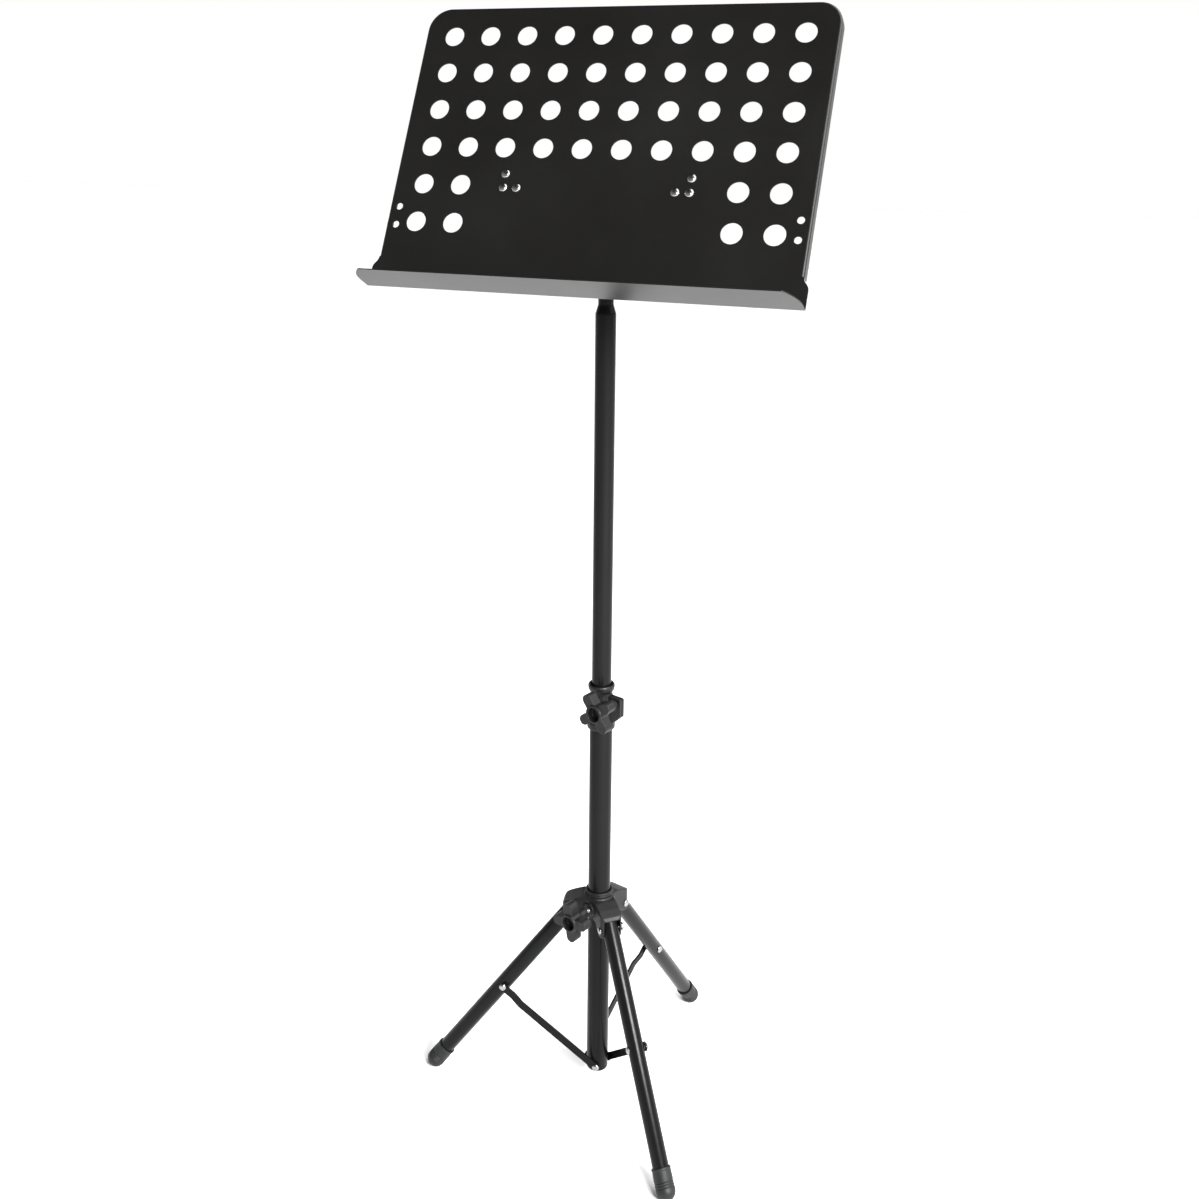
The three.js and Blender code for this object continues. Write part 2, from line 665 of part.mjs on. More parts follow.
// A flat bar along +X from the tube's rivet to the leg's bolt, with a joggle near the leg.
function brace() {
  const end = BRACE_LENGTH;
  const bar = new THREE.Shape();
  bar.absarc(end, 0, BRACE_EYE, -0.7 * Math.PI, 0.7 * Math.PI, false);
  bar.lineTo(end - 9, BRACE_HALF_WIDTH);
  bar.lineTo(9, BRACE_HALF_WIDTH);
  bar.absarc(0, 0, BRACE_EYE, 0.3 * Math.PI, 1.7 * Math.PI, false);
  bar.lineTo(9, -BRACE_HALF_WIDTH);
  bar.lineTo(end - 9, -BRACE_HALF_WIDTH);
  bar.closePath();
  bar.holes.push(circle(0, 0, PIN_RADIUS + GAP), circle(end, 0, PIN_RADIUS + GAP));
  const half = BRACE_THICKNESS / 2;
  const joggle = [
    [-10, BRACE_AT_TUBE],
    [end - 32, BRACE_AT_TUBE],
    [end - 18, BRACE_AT_LEG],
    [end + 10, BRACE_AT_LEG],
  ];
  const nearEdge = joggle.map(([x, y]) => [x, y - half]);
  const farEdge = joggle.map(([x, y]) => [x, y + half]).reverse();
  const strip = lying(polygon([...nearEdge, ...farEdge]), -8, 8);
  return common(upright(bar, 0, 30, 5), strip);
}

function bracePin() {
  const from = BRACE_AT_LEG - BRACE_THICKNESS / 2;
  const head = BRACE_AT_LEG + BRACE_THICKNESS / 2 + GAP;
  return alongY(headedPin(PIN_RADIUS, from, head, RIVET_HEAD, 2.2, 12)).translate(BRACE_LENGTH, 0, 0);
}

function braceRivet() {
  const head = BRACE_AT_TUBE + BRACE_THICKNESS / 2 + GAP;
  return alongY(headedPin(PIN_RADIUS, 9, head, RIVET_HEAD, 2.4, 12));
}

// ---------------------------------------------------------------- the assembly

// Knob and screw along +Z, with one lobe turned by that many degrees from +Y.
function knobOn(name, base, tip, lobeTurn) {
  const clamp = new THREE.Group();
  const knob = part(`${name}_knob`, starKnob(), plastic());
  knob.position.z = base;
  knob.rotation.z = THREE.MathUtils.degToRad(lobeTurn);
  clamp.add(knob, part(`${name}_screw`, clampScrew(base, tip), zinc()));
  return clamp;
}

// The same, level and pointing away along an azimuth, passing the mast's axis at an offset.
function levelKnob(clamp, azimuth, height, offset) {
  clamp.rotation.y = Math.PI / 2;
  clamp.position.y = offset;
  const turn = new THREE.Group();
  turn.rotation.z = THREE.MathUtils.degToRad(azimuth);
  turn.position.z = height;
  turn.add(clamp);
  return turn;
}

function heightClamp() {
  const knob = knobOn('height', CLAMP_KNOB_BASE, -CLAMP_EAR_HALF - 2, CLAMP_LOBE_TURN);
  return levelKnob(knob, CLAMP_AZIMUTH, CLAMP_SCREW_HEIGHT, CLAMP_SCREW_OFFSET);
}

function hubClamp() {
  const knob = knobOn('hub', HUB_KNOB_BASE, LOWER_TUBE_RADIUS + GAP, HUB_LOBE_TURN);
  return levelKnob(knob, HUB_KNOB_AZIMUTH, HINGE_HEIGHT + HUB_KNOB_RISE, 0);
}

function legAssembly(name, azimuth) {
  const side = new THREE.Group();
  side.rotation.z = THREE.MathUtils.degToRad(azimuth);

  const limb = new THREE.Group();
  limb.position.set(HINGE_RADIUS, 0, HINGE_HEIGHT);
  limb.rotation.y = slope;
  limb.add(
    part(`leg_${name}`, leg(), tubePaint()),
    part(`foot_${name}`, foot(), rubber()),
    part(`leg_bolt_${name}`, legBolt(), zinc()),
  );

  const strut = new THREE.Group();
  strut.position.z = BRACE_RIVET_HEIGHT;
  strut.rotation.y = -Math.atan2(braceRise, braceRun);
  strut.add(
    part(`brace_${name}`, brace(), tubePaint()),
    part(`brace_pin_${name}`, bracePin(), zinc()),
  );

  const rivet = part(`brace_rivet_${name}`, braceRivet(), zinc());
  rivet.position.z = BRACE_RIVET_HEIGHT;
  const pin = part(`hinge_pin_${name}`, hingePin(), zinc());
  pin.position.set(HINGE_RADIUS, 0, HINGE_HEIGHT);
  side.add(limb, strut, rivet, pin);
  return side;
}

function deskAssembly() {
  const desk = new THREE.Group();
  desk.position.z = TILT_AXIS_HEIGHT;
  desk.rotation.x = -THREE.MathUtils.degToRad(DESK_TILT);
  desk.add(
    part('desk_panel', deskPanel(), deskPaint()),
    part('bracket_ear_right', bracketEar(1), deskPaint()),
    part('bracket_ear_left', bracketEar(-1), deskPaint()),
    part('tilt_bar', tiltBar(), zinc()),
  );
  for (const [label, side] of [['left', -1], ['right', 1]]) {
    rivetPlaces().forEach(([x, height], index) => {
      const rivet = part(`desk_rivet_${label}_${index + 1}`, deskRivet(), zinc());
      rivet.position.set(side * x, PLATE_FRONT, height);
      desk.add(rivet);
    });
  }
  return desk;
}

function tiltClamp() {
  const head = part('tilt_head', tiltHead(), plastic());
  const pin = part('head_pin', alongX(rod(PIN_RADIUS, -SOCKET_RADIUS, SOCKET_RADIUS, 10)), zinc());
  pin.position.z = -34;
  const clamp = knobOn('tilt', HEAD_BOSS_END + 2, BAR_RADIUS + GAP, 45);
  clamp.rotation.x = -Math.PI / 2;
  const group = new THREE.Group();
  group.position.z = TILT_AXIS_HEIGHT;
  group.add(head, pin, clamp);
  return group;
}

const stand = new THREE.Group();
stand.add(
  part('lower_tube', lowerTube(), tubePaint()),
  part('tube_plug', tubePlug(), plastic()),
  part('upper_tube', upperTube(), tubePaint()),
  part('slide_bush', slideBush(), plastic()),
  part('clamp_collar', clampCollar(), plastic()),
  heightClamp(),
  tiltClamp(),
  deskAssembly(),
);

const hubMesh = part('hub', hub(), plastic());
const hubRingMesh = part('hub_ring', hubRing(), plastic());
hubMesh.position.z = HINGE_HEIGHT;
hubRingMesh.position.z = HINGE_HEIGHT;
stand.add(hubMesh, hubRingMesh, hubClamp());
LEG_NAMES.forEach((name, index) => stand.add(legAssembly(name, LEG_AZIMUTHS[index])));

// The origin is the middle of the footprint, on the floor.
const box = new THREE.Box3().setFromObject(stand, true);
stand.position.set(-(box.min.x + box.max.x) / 2, -(box.min.y + box.max.y) / 2, -box.min.z);

const musicStand = new THREE.Group();
musicStand.add(stand);
export default musicStand;
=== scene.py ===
"""Music stand: fine geometry, materials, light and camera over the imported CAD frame.

Lengths inside the builders are millimetres in a piece's own frame; each piece is then
placed in the row frame, in metres, by a matrix.
"""
import json
from math import atan2, cos, hypot, pi, radians, sin

import bmesh
import bpy
from mathutils import Matrix, Vector


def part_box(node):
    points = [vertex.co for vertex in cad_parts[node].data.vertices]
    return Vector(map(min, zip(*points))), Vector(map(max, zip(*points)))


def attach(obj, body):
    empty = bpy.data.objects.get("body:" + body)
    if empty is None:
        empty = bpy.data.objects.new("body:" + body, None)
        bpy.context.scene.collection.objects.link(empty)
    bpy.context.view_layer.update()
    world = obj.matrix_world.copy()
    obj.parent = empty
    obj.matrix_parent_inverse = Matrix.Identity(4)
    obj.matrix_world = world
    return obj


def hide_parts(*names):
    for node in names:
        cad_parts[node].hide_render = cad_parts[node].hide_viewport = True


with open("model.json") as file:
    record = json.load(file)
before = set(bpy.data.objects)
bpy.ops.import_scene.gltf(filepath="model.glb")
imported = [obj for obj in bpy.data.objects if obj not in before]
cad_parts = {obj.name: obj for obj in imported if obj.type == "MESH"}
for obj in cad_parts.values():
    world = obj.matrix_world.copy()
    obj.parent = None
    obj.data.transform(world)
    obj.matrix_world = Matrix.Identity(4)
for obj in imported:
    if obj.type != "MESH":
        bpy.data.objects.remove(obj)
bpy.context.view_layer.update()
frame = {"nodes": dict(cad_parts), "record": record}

MM = 0.001

# ------------------------------------------------------------------ the stand's dimensions

GAP = 0.3                     # clearance between two pieces
SHEET = 1.2                   # thickness of the desk's steel sheet
TUBE_WALL = 1.2

DESK_TILT = 27.15
TILT_AXIS_HEIGHT = 1160
PLATE_FRONT = -40.5
HOLE_PITCH = 46.1
HOLE_RADIUS = 11.9
FIRST_ROW_HEIGHT = 173
FULL_ROWS = 4
SIDE_ROWS = 2
HOLE_COLUMNS = 10
SIDE_COLUMNS = 2
DESK_HALF_WIDTH = 244.5
DESK_TOP = 209.8
DESK_CORNER = 27
FLANGE_DEPTH = 14
FLANGE_FOOT = -101
FLARE_FOOT = -116
LEDGE_HALF_WIDTH = 250.8
LEDGE_HEIGHT = -137.5
LEDGE_DEPTH = 52
LEDGE_CORNER_START = -54.5    # where each end of the ledge begins to round towards its front
LEDGE_CORNER_WIDTH = 15
LEDGE_CORNER_PULL = 14
LEDGE_CORNER_STEPS = 12
CLIP_HOLE_X = 232.4
CLIP_HOLE_RADIUS = 4.1
CLIP_HOLE_HEIGHTS = (-40, -62)
RIVET_PLACES = ((108.3, 3), (108.3, -13.6), (92.2, -13.6))
RIM_BEND = 2.4                # bend radii of the sheet's middle surface
LEDGE_BEND = 1.8

LOWER_TUBE_RADIUS = 14.1
LOWER_TUBE_BOTTOM = 28.5
LOWER_TUBE_TOP = 543
PLUG_SPIGOT = 22
BUSH_COLLAR = 8
BUSH_SPIGOT = 18
BUSH_BORE = 7
BUSH_RIBS = 3
BUSH_RIB_PITCH = 2.4
BUSH_GROOVE = 0.5
UPPER_TUBE_RADIUS = 12
UPPER_TUBE_BOTTOM = 480
TUBE_SEAM = 580
TAPER_BOTTOM = 1027
TAPER_TOP = 1037
NECK_RADIUS = 8.9
NECK_TOP = TILT_AXIS_HEIGHT - 17
HEAD_PIN_HEIGHT = TILT_AXIS_HEIGHT - 34

LEG_AZIMUTHS = {"left": 192.6, "front": 312.6, "back": 72.6}
LEG_SLOPE = radians(53.4)
LEG_LENGTH = 303
LEG_RADIUS = 10.2
LEG_ABOVE_HINGE = 8
LEG_SHORT_OF_FOOT = 4
FOOT_RADIUS = 12
FOOT_LENGTH = 26
FOOT_BEAD = 0.5
FOOT_GROOVES = 3
FOOT_GROOVE_PITCH = 3
FOOT_GROOVE_DEPTH = 0.7
FOOT_CENTRE_HEIGHT = 11.2
HINGE_RADIUS = 39
HINGE_HEIGHT = FOOT_CENTRE_HEIGHT + LEG_LENGTH * sin(LEG_SLOPE)
BRACE_ON_LEG = 143.5
BRACE_RIVET_HEIGHT = 34
BRACE_RIVET_ROOT = 9
BRACE_AT_TUBE = 16
BRACE_AT_LEG = 12.2
BRACE_THICKNESS = 2.5
BRACE_WIDENING = 1.25         # the visible strip against the narrower CAD solid
BRACE_RUN = HINGE_RADIUS + BRACE_ON_LEG * cos(LEG_SLOPE)
BRACE_RISE = HINGE_HEIGHT - BRACE_ON_LEG * sin(LEG_SLOPE) - BRACE_RIVET_HEIGHT
PIN_RADIUS = 2.2
BOLT_HEAD_HEIGHT = 2.4
RIVET_HEAD_HEIGHT = 2.6
HINGE_PIN = 3
HINGE_HEAD = 4.5
HINGE_NUT = 5.2
HINGE_NUT_DEPTH = 2.6
HUB_TOP = HINGE_HEIGHT + 30
RING_GAP = 0.4
HUB_ARM_HALF_WIDTH = 14.2
RIVET_SHANK = 2.2
RIVET_HEAD = 4.6
DESK_RIVET_HEAD = 5.2
RIVET_LENGTH = 5.2
HEAD_GAP = 0.1                # between a rivet's head and the face under it
BAR_RADIUS = 6
BAR_JOURNAL = 4
EAR_WEB_X = 114
EAR_THICKNESS = 2.5
SOCKET_RADIUS = 13

KNOB_REACH = 26
KNOB_LOBE = 6.6
KNOB_LOBE_FROM = 16.5
KNOB_LOBE_TO = 30
KNOB_NECK = 8
KNOB_NECK_FLARE = 0.6
KNOB_NECK_WAIST = 0.5
KNOB_WAIST_HEIGHT = 10
KNOB_NECK_TOP = 18
KNOB_CORE = 11.5
KNOB_CORE_TOP = 32
KNOB_RECESS = 8.8
KNOB_RECESS_FLOOR = 23
SCREW_RADIUS = 3
SCREW_IN_KNOB = 14
THREAD_DEPTH = 0.45
THREAD_PITCH = 1
KNOB_AZIMUTH = 252.6
HUB_KNOB_BASE = 31
HUB_KNOB_RISE = 14.5
HUB_LOBE_TURN = 8
CLAMP_KNOB_BASE = 10
CLAMP_SCREW_HEIGHT = 550.5
CLAMP_SCREW_OFFSET = 20
CLAMP_EAR_HALF = 4.2
CLAMP_SCREW_PAST_EAR = 2
CLAMP_LOBE_TURN = 36
TILT_KNOB_BASE = 27
TILT_LOBE_TURN = 45

# The view: the camera's place from the foot of the mast, and its angles in degrees.
VIEW_PLACE = (534.7, -1443.4, 1235.2)
VIEW_HEADING = 20.34
VIEW_DOWN = 14.84
VIEW_ROLL = 0.66
VIEW_LENS = 40.53             # on a sensor 36 mm wide
VIEW_SHIFT_X = -0.0034
VIEW_SHIFT_Y = -0.0976

# ------------------------------------------------------------------ frames

low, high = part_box("lower_tube")
MAST = Matrix.Translation(((low[0] + high[0]) / 2, (low[1] + high[1]) / 2, 0))


def spin(axis, angle):
    return Matrix.Rotation(angle, 4, axis)


def shift(x, y, z):
    return Matrix.Translation((x * MM, y * MM, z * MM))


def desk_frame():
    return MAST @ shift(0, 0, TILT_AXIS_HEIGHT) @ spin("X", -radians(DESK_TILT))


def side_frame(name):
    """At the foot of the mast, with +X towards a leg."""
    return MAST @ spin("Z", radians(LEG_AZIMUTHS[name]))


def leg_frame(name):
    return side_frame(name) @ shift(HINGE_RADIUS, 0, HINGE_HEIGHT) @ spin("Y", LEG_SLOPE)


def level_frame(azimuth, height, offset):
    """+Z level along an azimuth, passing beside the mast at an offset."""
    return MAST @ spin("Z", radians(azimuth)) @ shift(0, offset, height) @ spin("Y", pi / 2)


def camera_frame():
    """The viewpoint, a step back on the reader's right and looking down at the stand."""
    heading, down, roll = (radians(angle) for angle in (VIEW_HEADING, VIEW_DOWN, VIEW_ROLL))
    return MAST @ shift(*VIEW_PLACE) @ spin("Z", heading) @ spin("X", pi / 2 - down) @ spin("Z", roll)


# ------------------------------------------------------------------ mesh helpers

# The angle in degrees between two faces, above which the edge between them is shaded sharp.
SHARP_ANGLE = 35
FACET_ANGLE = 20              # for sheet metal: chamfers stay sharp, bends stay smooth
MOULDED_ANGLE = 80            # for mouldings: every edge is rounded in the mesh itself


def new_object(name, data):
    made = bpy.data.objects.new(name, data)
    bpy.context.scene.collection.objects.link(made)
    return made


def from_bmesh(name, bm):
    bmesh.ops.recalc_face_normals(bm, faces=bm.faces)
    mesh = bpy.data.meshes.new(name)
    bm.to_mesh(mesh)
    bm.free()
    mesh.shade_smooth()
    mesh.set_sharp_from_angle(angle=radians(SHARP_ANGLE))
    return new_object(name, mesh)


def add_modifier(piece, kind, **settings):
    modifier = piece.modifiers.new(kind.title(), kind)
    for key, value in settings.items():
        setattr(modifier, key, value)
    return modifier


def apply_modifiers(piece, sharp_angle=SHARP_ANGLE):
    graph = bpy.context.evaluated_depsgraph_get()
    mesh = bpy.data.meshes.new_from_object(piece.evaluated_get(graph))
    piece.modifiers.clear()
    old = piece.data
    piece.data = mesh
    bpy.data.meshes.remove(old)
    mesh.shade_smooth()
    mesh.set_sharp_from_angle(angle=radians(sharp_angle))
    return piece


def chamfered(piece, width, least_angle, sharp_angle=SHARP_ANGLE):
    """Cuts back every edge whose faces turn by more than an angle, in degrees."""
    add_modifier(piece, "BEVEL", width=width, segments=2, limit_method="ANGLE",
                 angle_limit=radians(least_angle))
    return apply_modifiers(piece, sharp_angle)


def flat_shaded(piece):
    """Wide flat faces keep their own normal right up to a bend or a chamfer."""
    add_modifier(piece, "WEIGHTED_NORMAL", weight=100, keep_sharp=True)
    return piece


# ------------------------------------------------------------------ turned pieces

EASED_SHARE = 0.45            # the most that a rounded corner takes of each side it joins
EASED_STEPS = 3


def curve(start, control, end, steps):
    """Points on a quadratic curve from one point to another, pulled towards a third."""
    points = []
    for k in range(steps + 1):
        t = k / steps
        points.append(start * (1 - t) ** 2 + control * 2 * t * (1 - t) + end * t * t)
    return points


def eased(profile, reach):
    """The same profile, with a small arc in place of each corner."""
    points = [Vector(profile[0])]
    for before, corner, after in zip(profile, profile[1:], profile[2:]):
        a, c, b = Vector(before), Vector(corner), Vector(after)
        near = min(reach, (a - c).length * EASED_SHARE)
        far = min(reach, (b - c).length * EASED_SHARE)
        start = c + (a - c).normalized() * near
        end = c + (b - c).normalized() * far
        points += curve(start, c, end, EASED_STEPS)
    points.append(Vector(profile[-1]))
    return points


def turned(name, profile, sides=64, ease=0.4):
    """A profile of (radius, height) points turned about Z."""
    bm = bmesh.new()
    rings = []
    for radius, height in eased(profile, ease):
        count = 1 if radius < 1e-4 else sides
        rings.append([
            bm.verts.new((radius * cos(2 * pi * k / sides), radius * sin(2 * pi * k / sides), height))
            for k in range(count)
        ])
    for lower, upper in zip(rings, rings[1:]):
        for k in range(sides):
            corners = []
            for ring, index in ((lower, k), (lower, k + 1), (upper, k + 1), (upper, k)):
                vertex = ring[index % len(ring)]
                if vertex not in corners:
                    corners.append(vertex)
            if len(corners) > 2:
                bm.faces.new(corners)
    bmesh.ops.remove_doubles(bm, verts=bm.verts, dist=1e-4)
    return from_bmesh(name, bm)


def rod(name, radius, start, end, sides=64, ease=0.4):
    profile = [(0, start), (radius, start), (radius, end), (0, end)]
    return turned(name, profile, sides, ease)


def pipe(name, outer, inner, start, end):
    profile = [(outer, start), (outer, end), (inner, end), (inner, start), (outer, start)]
    return turned(name, profile)


def domed_pin(name, radius, start, head_start, head_radius, head_height):
    """A rivet or bolt shank with a low domed head at its +Z end."""
    dome = []
    for degree in (20, 38, 55, 72):
        angle = radians(degree)
        dome.append((head_radius * cos(angle), head_start + head_height * sin(angle)))
    profile = [(0, start), (radius, start), (radius, head_start), (head_radius, head_start)]
    profile += [(head_radius, head_start + head_height * 0.15)] + dome
    profile += [(0, head_start + head_height)]
    return turned(name, profile, 40, 0.25)


# ------------------------------------------------------------------ moulded and cut pieces

def cut_or_join(piece, other, operation):
    add_modifier(piece, "BOOLEAN", object=other, operation=operation, solver="EXACT")
    apply_modifiers(piece)
    bpy.data.objects.remove(other)


def turned_by(piece, axis, angle):
    """Turns a piece about an axis of its own frame, the angle in radians."""
    piece.data.transform(spin(axis, angle))
    return piece


def rounded_off(piece, voxel, passes):
    """Gives every edge of a moulding a small radius."""
    add_modifier(piece, "REMESH", mode="VOXEL", voxel_size=voxel, use_smooth_shade=True)
    add_modifier(piece, "SMOOTH", factor=0.5, iterations=passes)
    return apply_modifiers(piece, MOULDED_ANGLE)


def prism(name, outline, start, end):
    """A closed outline of (x, y) points raised along Z."""
    bm = bmesh.new()
    base = [bm.verts.new((x, y, start)) for x, y in outline]
    top = [bm.verts.new((x, y, end)) for x, y in outline]
    bm.faces.new(base)
    bm.faces.new(top)
    for k in range(len(outline)):
        following = (k + 1) % len(outline)
        bm.faces.new((base[k], base[following], top[following], top[k]))
    return from_bmesh(name, bm)


def arc(x, y, radius, start, end, steps):
    """Points on an arc, angles in degrees."""
    points = []
    for k in range(steps + 1):
        angle = radians(start + (end - start) * k / steps)
        points.append((x + radius * cos(angle), y + radius * sin(angle)))
    return points


def cad_solid(node):
    """A CAD solid as a mesh in millimetres, its coplanar triangles made into whole faces."""
    bm = bmesh.new()
    bm.from_mesh(frame["nodes"][node].data)
    bm.transform(Matrix.Scale(1 / MM, 4) @ frame["nodes"][node].matrix_world)
    bmesh.ops.remove_doubles(bm, verts=bm.verts, dist=1e-3)
    bmesh.ops.dissolve_limit(bm, angle_limit=radians(1), verts=bm.verts, edges=bm.edges)
    return from_bmesh("fine_" + node, bm)


def refined(node, width=0.3):
    """A cut or pressed metal piece: its CAD solid with the edges rounded off."""
    return flat_shaded(chamfered(cad_solid(node), width, 35, FACET_ANGLE))


def widened(piece, place, factor):
    """Stretches a piece along the +Z of a frame, the piece in the row frame's millimetres."""
    place = Matrix.Scale(1 / MM, 4) @ place @ Matrix.Scale(MM, 4)
    piece.data.transform(place @ Matrix.Diagonal((1, 1, factor, 1)) @ place.inverted())
    return piece


# ------------------------------------------------------------------ desk

PLATE_MIDDLE = PLATE_FRONT + SHEET / 2
LEDGE_MIDDLE = LEDGE_HEIGHT + SHEET / 2
FLAT_BAND = 0.8               # flat strip between a bend and the wide flat faces


def rim_path(outward, depth):
    """The rim from its right-hand foot, over the top, to its left-hand foot."""
    side = DESK_HALF_WIDTH - SHEET / 2 - RIM_BEND + outward
    top = DESK_TOP - SHEET / 2 - RIM_BEND + outward
    corner = DESK_CORNER - SHEET / 2 - RIM_BEND + outward
    points = [(side, FLANGE_FOOT)]
    points += arc(side - corner, top - corner, corner, 0, 90, 16)
    points += arc(corner - side, top - corner, corner, 90, 180, 16)
    points += [(-side, FLANGE_FOOT)]
    return [(x, PLATE_MIDDLE + depth, z) for x, z in points]


def flare_edge(steps=10):
    """Right-hand edge of the plate from the ledge's width up to the plate's own width."""
    bend = (FLANGE_FOOT + FLARE_FOOT) / 2
    points = []
    for k in range(steps + 1):
        t = k / steps
        outer, inner = (1 - t) ** 2 * (1 + 2 * t), t * t * (3 - 2 * t)
        x = outer * LEDGE_HALF_WIDTH + inner * DESK_HALF_WIDTH
        z = (1 - t) ** 3 * FLARE_FOOT + 3 * t * (1 - t) * bend + t ** 3 * FLANGE_FOOT
        points.append((x, PLATE_MIDDLE, z))
    return points


def plate_outline():
    """The plate's flat, short of the bends at the rim and at the ledge."""
    foot = LEDGE_MIDDLE + LEDGE_BEND + FLAT_BAND
    bend_start = rim_path(0, 0)
    right = [(LEDGE_HALF_WIDTH, PLATE_MIDDLE, foot)] + flare_edge() + [bend_start[0]]
    left = [(-x, y, z) for x, y, z in reversed(right)]
    return right + rim_path(-FLAT_BAND, 0) + left


def circle(x, y, z, radius, steps):
    return [(x + a, y, z + b) for a, b in arc(0, 0, radius, 0, 360, steps)[:-1]]


def plate_holes():
    holes = []
    for row in range(FULL_ROWS + SIDE_ROWS):
        for column in range(HOLE_COLUMNS):
            at_side = column < SIDE_COLUMNS or column >= HOLE_COLUMNS - SIDE_COLUMNS
            if row < FULL_ROWS or at_side:
                x = (column - (HOLE_COLUMNS - 1) / 2) * HOLE_PITCH
                z = FIRST_ROW_HEIGHT - row * HOLE_PITCH
                holes.append(circle(x, PLATE_MIDDLE, z, HOLE_RADIUS, 48))
    for side in (-1, 1):
        for height in CLIP_HOLE_HEIGHTS:
            holes.append(circle(side * CLIP_HOLE_X, PLATE_MIDDLE, height, CLIP_HOLE_RADIUS, 24))
    return holes


def ledge_outline():
    """The ledge's flat, with its front corners rounded by a curve."""
    back = PLATE_MIDDLE - LEDGE_BEND - FLAT_BAND
    front = PLATE_FRONT - LEDGE_DEPTH
    start = Vector((LEDGE_HALF_WIDTH, LEDGE_CORNER_START))
    control = Vector((LEDGE_HALF_WIDTH, front + LEDGE_CORNER_PULL))
    end = Vector((LEDGE_HALF_WIDTH - LEDGE_CORNER_WIDTH, front))
    right = [(LEDGE_HALF_WIDTH, back)]
    right += [tuple(point) for point in curve(start, control, end, LEDGE_CORNER_STEPS)]
    left = [(-x, y) for x, y in reversed(right)]
    return [(x, y, LEDGE_MIDDLE) for x, y in right + left]


def fill(bm, *loops):
    """A flat face inside the first loop, with the other loops as holes."""
    edges = []
    for loop in loops:
        corners = [bm.verts.new(point) for point in loop]
        for here, following in zip(corners, corners[1:] + corners[:1]):
            edges.append(bm.edges.new((here, following)))
    bmesh.ops.triangle_fill(bm, use_beauty=True, edges=edges)


def strip(bm, rows):
    """Quads between each row of points and the next."""
    rows = [[bm.verts.new(point) for point in row] for row in rows]
    for near, far in zip(rows, rows[1:]):
        for k in range(len(near) - 1):
            bm.faces.new((near[k], near[k + 1], far[k + 1], far[k]))


def quarter_bend(radius, steps=6):
    """Run along the first flat and drop towards the second, through a right-angled bend."""
    angles = [radians(90 * k / steps) for k in range(steps + 1)]
    return [(radius * sin(angle), radius * (1 - cos(angle))) for angle in angles]


def desk_panel():
    """One sheet: plate, rim turned back and ledge turned forward, with true bends."""
    bm = bmesh.new()
    fill(bm, plate_outline(), *plate_holes())
    fill(bm, ledge_outline())
    rim = [(-FLAT_BAND, 0)] + quarter_bend(RIM_BEND) + [(RIM_BEND, FLANGE_DEPTH - SHEET / 2)]
    strip(bm, [rim_path(outward, depth) for outward, depth in rim])
    fold = [(-FLAT_BAND, 0)] + quarter_bend(LEDGE_BEND) + [(LEDGE_BEND, LEDGE_BEND + FLAT_BAND)]
    top = LEDGE_MIDDLE + LEDGE_BEND
    strip(bm, [
        [(x, PLATE_MIDDLE - forward, top - down) for x in (-LEDGE_HALF_WIDTH, LEDGE_HALF_WIDTH)]
        for down, forward in fold
    ])
    bmesh.ops.remove_doubles(bm, verts=bm.verts, dist=0.01)
    panel = from_bmesh("fine_desk_panel", bm)
    add_modifier(panel, "SOLIDIFY", thickness=SHEET, offset=0, use_even_offset=True)
    apply_modifiers(panel)
    return flat_shaded(chamfered(panel, 0.22, 40, FACET_ANGLE))


# ------------------------------------------------------------------ knobs, screws and castings

def star_knob():
    """Waisted neck, a cross of two round-ended bars, a core with a recess, and a screw hole."""
    knob = turned("knob", [
        (0, 0),
        (KNOB_NECK, 0),
        (KNOB_NECK - KNOB_NECK_WAIST, KNOB_WAIST_HEIGHT),
        (KNOB_NECK + KNOB_NECK_FLARE, KNOB_NECK_TOP),
        (0, KNOB_NECK_TOP),
    ])
    cut_or_join(knob, rod("core", KNOB_CORE, KNOB_LOBE_FROM, KNOB_CORE_TOP), "UNION")
    middle = KNOB_REACH - KNOB_LOBE
    outline = arc(middle, 0, KNOB_LOBE, -90, 90, 16) + arc(-middle, 0, KNOB_LOBE, 90, 270, 16)
    for turn in (0, pi / 2):
        bar = prism("bar", outline, KNOB_LOBE_FROM, KNOB_LOBE_TO)
        cut_or_join(knob, turned_by(bar, "Z", turn), "UNION")
    recess = rod("recess", KNOB_RECESS, KNOB_RECESS_FLOOR, KNOB_CORE_TOP + 1)
    screw_hole = rod("screw_hole", SCREW_RADIUS + GAP, -1, SCREW_IN_KNOB + GAP)
    cut_or_join(knob, recess, "DIFFERENCE")
    cut_or_join(knob, screw_hole, "DIFFERENCE")
    return rounded_off(knob, 0.5, 6)


def threaded_screw(name, tip, end):
    """A metric screw: a plain tip, then one ridge for every pitch of thread."""
    core = SCREW_RADIUS - THREAD_DEPTH
    rise, crest_end, fall = 0.4, 0.55, 0.95
    profile = [(0, tip), (core, tip), (core, tip + rise)]
    turns = int((end - tip) / THREAD_PITCH - 1)
    for k in range(turns):
        foot = tip + rise + k * THREAD_PITCH
        profile += [(SCREW_RADIUS, foot + rise), (SCREW_RADIUS, foot + crest_end), (core, foot + fall)]
    profile += [(core, end), (0, end)]
    return turned(name, profile, 32, 0.05)


# ------------------------------------------------------------------ tubes, legs and feet

def lower_tube():
    return pipe("fine_lower_tube", LOWER_TUBE_RADIUS, LOWER_TUBE_RADIUS - TUBE_WALL,
                LOWER_TUBE_BOTTOM, LOWER_TUBE_TOP)


